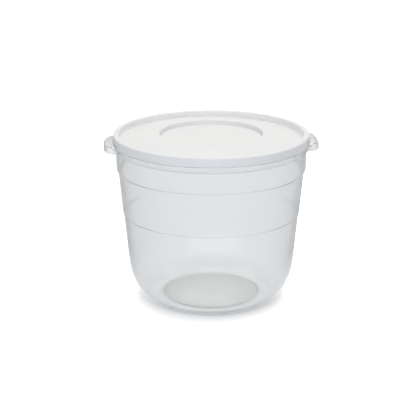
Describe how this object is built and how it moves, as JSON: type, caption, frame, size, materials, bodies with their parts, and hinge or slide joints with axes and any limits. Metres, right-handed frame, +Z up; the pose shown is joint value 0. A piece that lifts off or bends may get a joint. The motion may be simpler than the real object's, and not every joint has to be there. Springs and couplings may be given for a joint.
{
  "type": "storage container",
  "caption": "Round translucent storage container with a rounded heel, stepped wall, finger lugs and a lift-off lid with a stacking recess.",
  "frame": {"origin": "on the table, at the middle of the container's round foot", "axes": "+Z up through the lid, +X from the axis to one of the two lugs, -Y to the front"},
  "size_m": [0.2528, 0.23, 0.2016],
  "materials": {
    "container_plastic": "translucent frosted polypropylene, smooth satin",
    "lid_plastic": "translucent milky polypropylene, smooth satin"
  },
  "bodies": {
    "container": {"container_body": "container_plastic"},
    "lid": {"lid": "lid_plastic"}
  },
  "joints": [
    {"name": "lid_lift", "type": "slide", "parent": "container", "child": "lid", "axis": [0, 0, 1], "range_m": [0, 0.22]}
  ]
}
